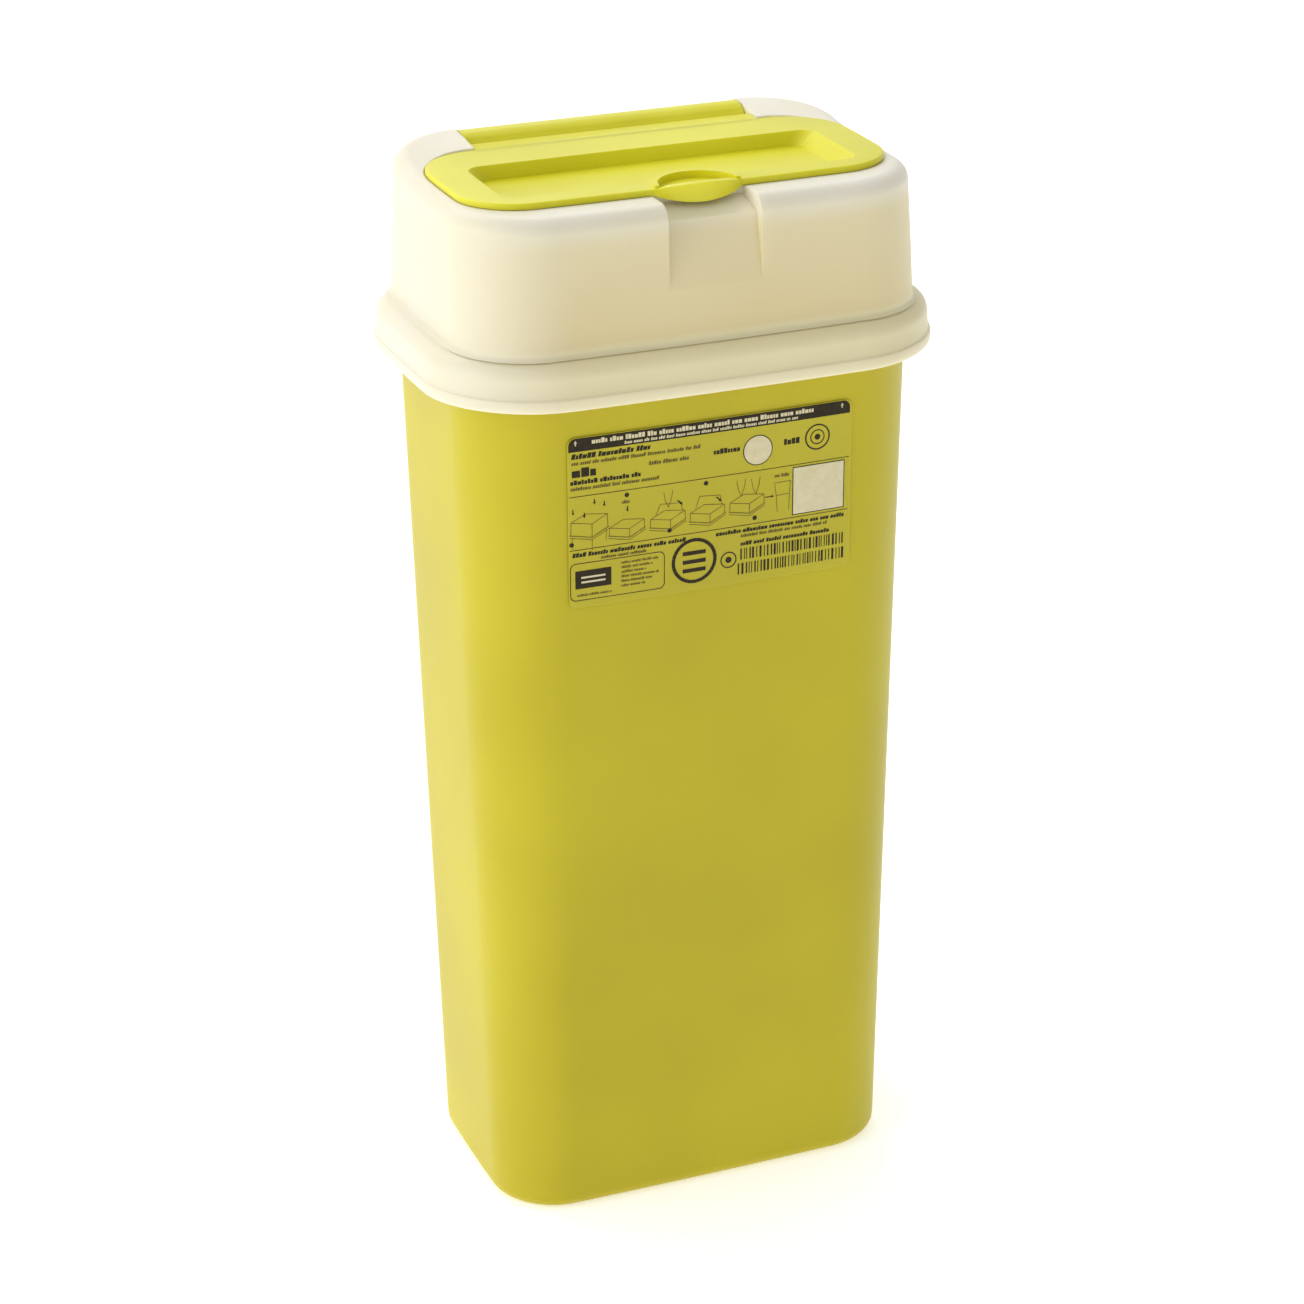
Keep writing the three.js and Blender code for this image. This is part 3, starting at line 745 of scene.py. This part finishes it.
def drawBin(ink, u, v, wide, tall, gape=0.0, tub=True):
    # small line drawing of the dome lid, and of the tub's top under it
    half, deep = wide / 2, wide * 0.2
    ink.line([(u - half, v + deep), (u - half * 0.2, v), (u + half, v + deep * 0.35)], 0.22)
    ink.line([(u - half, v + deep), (u + half * 0.15, v + deep * 1.5), (u + half, v + deep * 0.35)], 0.22)
    for side, drop in ((-half, deep), (half * 0.15, deep * 1.5), (half, deep * 0.35)):
        ink.line([(u + side, v + drop), (u + side * 1.02, v + drop + tall * 0.45)], 0.22)
    low = v + tall * 0.45
    ink.line([(u - half * 1.08, low + deep), (u + half * 0.15, low + deep * 1.6),
              (u + half * 1.08, low + deep * 0.35)], 0.3)
    ink.line([(u - half * 1.08, low + deep + 0.9), (u + half * 0.15, low + deep * 1.6 + 0.9),
              (u + half * 1.08, low + deep * 0.35 + 0.9)], 0.22)
    if tub:
        for side, drop in ((-half * 0.95, deep), (half * 0.15, deep * 1.6), (half * 0.95, deep * 0.35)):
            ink.line([(u + side, low + drop + 1), (u + side * 0.96, low + drop + tall * 0.5)], 0.2)
    if gape:
        ink.line([(u - half * 0.7, v + deep * 0.5), (u - half * 0.45, v - gape),
                  (u + half * 0.75, v - gape * 0.8), (u + half * 0.85, v + deep * 0.3)], 0.22)


def drawHeader(ink, header):
    # dark band with round upper corners, its light writing and two arrows
    left, right, corner, columns = label["printLeft"], label["printRight"], 2.6, 18
    top, foot, step = 0.2, 5.1, (right - left - 2 * corner) / columns
    for i in range(columns):
        a, b = left + corner + step * i, left + corner + step * (i + 1)
        ink.patch([(a, top), (a, foot), (b, foot), (b, top)])
    bend = arc(left + corner, top + corner, corner, 270, 180, 8)
    ink.patch([(left + corner, top)] + bend[1:] + [(left, foot), (left + corner, foot)])
    bend = arc(right - corner, top + corner, corner, 0, -90, 8)
    ink.patch([(right - corner, foot), (right, foot)] + bend)
    header.words(-45, 40, 1.0, 1.75, 0.75)
    header.words(-33, 33, 3.35, 1.15, 0.5, 0.2)
    header.arrow(-51, 2.9, 0, -2.0, 0.4, 1.1)
    header.arrow(50, 2.9, 0, -2.0, 0.4, 1.1)


def drawUpperPart(ink, faint, white):
    # writing on the left, then a short code, a plain light disc and a ring mark
    ink.words(-52.6, -22, 5.9, 1.9, 0.8, 0.22)
    faint.words(-52.6, -4, 8.7, 1.35, 0.6, 0.22)
    ink.words(-52.4, -43, 11.2, 3.4, 1.0)
    faint.words(-24, -8, 12.2, 1.5, 0.6, 0.2)
    ink.words(-53, -26, 15.6, 1.7, 0.8)
    faint.words(-53, -20, 18.1, 1.35, 0.6, 0.22)
    ink.words(0.5, 12, 11.4, 1.9, 0.7)
    ink.blob(17.4, 14.0, 5.7)
    white.blob(17.4, 14.0, 5.35)
    ink.ring(40.5, 12.4, 4.6, 0.55)
    ink.ring(40.5, 12.4, 2.6, 0.4)
    ink.blob(40.5, 12.4, 1.1)
    ink.words(27.5, 34.5, 11.4, 2.2, 0.8)


def drawSteps(ink, faint):
    # five steps, drawn in line, with a tall outline at their right
    drawBin(faint, -46.2, 28.6, 13.5, 10.5)
    drawBin(faint, -32.2, 32.6, 13.0, 6.5, tub=False)
    drawBin(faint, -16.8, 31.6, 13.0, 7.0, 2.6, tub=False)
    drawBin(faint, -1.8, 31.6, 13.0, 7.0, 3.4, tub=False)
    drawBin(faint, 13.4, 30.0, 13.0, 7.5, tub=False)
    for u, v in ((-52.2, 26.4), (-48.0, 28.0), (-44.2, 23.4), (-40.6, 24.6), (-32.0, 27.8)):
        ink.arrow(u, v, 0, 2.1, 0.4, 0.95)
    for u, v in ((-13.2, 28.4), (1.6, 29.4)):
        ink.arrow(u, v, 2.0, 1.9, 0.5, 1.1)
    for u in (-18.4, 9.4, 15.0):
        faint.line([(u, 24.6), (u + 0.6, 28.0), (u + 1.8, 30.6), (u + 3.0, 27.0), (u + 3.4, 24.2)], 0.22)
    for u, v in ((-52.8, 39.6), (-32.2, 23.6), (-16.2, 39.4), (-2.4, 23.6), (16.4, 39.6)):
        ink.blob(u, v, 0.85)
    faint.words(-34, -30.4, 25.4, 1.3, 0.6)
    faint.words(24, 30, 24.2, 1.3, 0.6)
    faint.line([(24.0, 27.6), (24.6, 31.4), (25.2, 38.6)], 0.2)
    faint.line([(30.2, 27.4), (30.0, 31.0), (29.6, 38.4)], 0.2)
    faint.line([(24.0, 27.6), (30.2, 27.4)], 0.2)
    faint.line([(24.6, 32.4), (30.0, 32.2)], 0.2)
    ink.arrow(20.4, 32.4, 3.4, 0, 0.3, 0.9)


def drawWriteOnPanel(ink, white):
    ink.bar(31.0, 51.4, 22.6, 40.9, 6)
    white.bar(31.35, 51.05, 22.95, 40.55, 6)


def drawLowerPart(ink, faint, header):
    # writing, a framed panel on the left, plain round marks and two rows of strokes
    ink.words(-52.6, -9, 42.9, 1.6, 0.8, 0.18)
    faint.words(-42, -24, 45.1, 1.2, 0.6, 0.18)
    ink.words(1.4, 51.6, 42.9, 1.5, 0.8, 0.18)
    faint.words(11, 45, 45.1, 1.2, 0.6, 0.2)
    ink.frame(-53.4, -18.2, 47.0, 61.0, 0.3, 2.0)
    ink.bar(-51.6, -38.2, 49.8, 56.6, 3)
    header.bar(-49.4, -40.4, 52.1, 52.8, 2)
    header.bar(-49.4, -40.4, 53.9, 54.6, 2)
    faint.words(-51, -38, 58.6, 0.95, 0.6)
    for row in range(6):
        faint.words(-34.4, -20 - (row % 3) * 2.5, 48.4 + row * 1.75, 0.95, 0.55)
    ink.ring(-6.8, 52.4, 8.0, 1.3)
    for v in (48.6, 51.9, 55.2):
        ink.bar(-11.2, -2.4, v, v + 1.5, 2)
    ink.ring(6.4, 54.2, 2.9, 0.45)
    ink.blob(6.4, 54.2, 1.2)
    ink.words(11, 46, 48.0, 1.5, 0.75, 0.2)
    ink.strokes(11, 51.6, 50.6, 4.3)
    ink.strokes(10, 52, 56.2, 4.3)


def makePrint():
    random.seed(label["seed"])
    ink = Print("labelPrint", blackInk, 2)
    faint = Print("labelDrawings", greyInk, 2)
    white = Print("labelPanels", whiteInk, 3)
    header = Print("labelHeaderWriting", whiteInk, 3)
    drawHeader(ink, header)
    drawUpperPart(ink, faint, white)
    for v in (21.75, 41.8):  # rules above and below the steps
        ink.bar(label["printLeft"], label["printRight"], v - 0.12, v + 0.12, 24)
    drawSteps(ink, faint)
    drawWriteOnPanel(ink, white)
    drawLowerPart(ink, faint, header)
    for sheet in (ink, faint, white, header):
        sheet.make()


makeFilmPiece()
makePrint()
print("label made")


# stage, light and camera
view = {
    "azimuth": -21.572, "elevation": 23.42, "roll": -0.613, "distance": 1.3104, "aimZ": 0.1975,
    "lens": 96.16, "shiftX": -0.00235, "shiftY": 0.00874,
}
light = {"key": 6.5, "top": 8, "fill": 1.0, "skyFront": 0.35, "skyBack": 0.97, "floorGlow": 0.42}


def makeCamera():
    azimuth, elevation, roll = (math.radians(view[key]) for key in ("azimuth", "elevation", "roll"))
    level = math.cos(elevation)
    back = Vector((math.sin(azimuth) * level, -math.cos(azimuth) * level, math.sin(elevation)))
    right = Vector((math.cos(azimuth), math.sin(azimuth), 0))
    up = back.cross(right)
    across = right * math.cos(roll) + up * math.sin(roll)
    above = up * math.cos(roll) - right * math.sin(roll)
    data = bpy.data.cameras.new("camera")
    data.sensor_width = 36
    data.lens = view["lens"]
    data.shift_x, data.shift_y = view["shiftX"], view["shiftY"]
    data.clip_start, data.clip_end = 0.05, 30
    camera = bpy.data.objects.new("camera", data)
    place = Matrix((across, above, back)).transposed().to_4x4()
    place.translation = Vector((0, 0, view["aimZ"])) + back * view["distance"]
    camera.matrix_world = place
    scene.collection.objects.link(camera)
    scene.camera = camera


def makeLamp(name, place, aim, size, watts, tint):
    data = bpy.data.lights.new(name, "AREA")
    data.shape = "RECTANGLE"
    data.size, data.size_y = size
    data.energy = watts
    data.color = tint
    lamp = bpy.data.objects.new(name, data)
    lamp.location = place
    lamp.rotation_mode = "QUATERNION"
    lamp.rotation_quaternion = (Vector(aim) - Vector(place)).to_track_quat("-Z", "Y")
    scene.collection.objects.link(lamp)


def makeStage():
    corners = [(x, y, 0) for x, y in rectangle(-6000, 6000, -6000, 6000)]
    floor = meshObject("floor", corners, [(0, 1, 2, 3)])
    material, tree, shader, place = startMaterial("paleStudioPaper")
    # faint clouds in the paper, three to a metre
    mottle = addNode(tree, "ShaderNodeTexNoise", {"Scale": 3.0, "Detail": 2.0, "Vector": place})
    tint = addNode(tree, "ShaderNodeMix", {"data_type": "RGBA", "A": srgb("#fbfbfa"), "B": srgb("#ffffff"),
                                           "Factor": mottle.outputs["Fac"]})
    tree.links.new(tint.outputs["Result"], shader.inputs["Base Color"])
    setShader(shader, {"Roughness": 0.9, "Emission Color": (1, 1, 1, 1),
                       "Emission Strength": light["floorGlow"]})
    floor.data.materials.append(material)
    # sky: dim towards the viewer, bright behind and on the left
    world = bpy.data.worlds.new("studioSky")
    world.use_nodes = True
    tree = world.node_tree
    place = addNode(tree, "ShaderNodeTexCoord").outputs["Generated"]
    lean = addNode(tree, "ShaderNodeVectorMath", {"operation": "DOT_PRODUCT"})
    tree.links.new(place, lean.inputs[0])
    lean.inputs[1].default_value = (-0.62, 0.74, 0.25)
    glow = addNode(tree, "ShaderNodeMapRange", {"From Min": -0.8, "From Max": 0.7,
                                                "To Min": light["skyFront"], "To Max": light["skyBack"],
                                                "Value": lean.outputs["Value"]})
    tree.links.new(glow.outputs["Result"], tree.nodes["Background"].inputs["Strength"])
    tree.nodes["Background"].inputs["Color"].default_value = (1, 1, 1, 1)
    scene.world = world
    scene.view_settings.view_transform = "Standard"
    makeLamp("keyLeft", (-1.5, -0.1, 0.75), (0, 0, 0.25), (1.2, 1.4), light["key"], (1, 0.99, 0.97))
    makeLamp("topBack", (-0.2, 1.0, 1.5), (0, 0, 0.35), (1.6, 0.9), light["top"], (1, 1, 1))
    makeLamp("frontFill", (0.9, -1.8, 0.9), (0, 0, 0.2), (1.6, 1.6), light["fill"], (1, 1, 1))


makeCamera()
makeStage()
print("stage made")
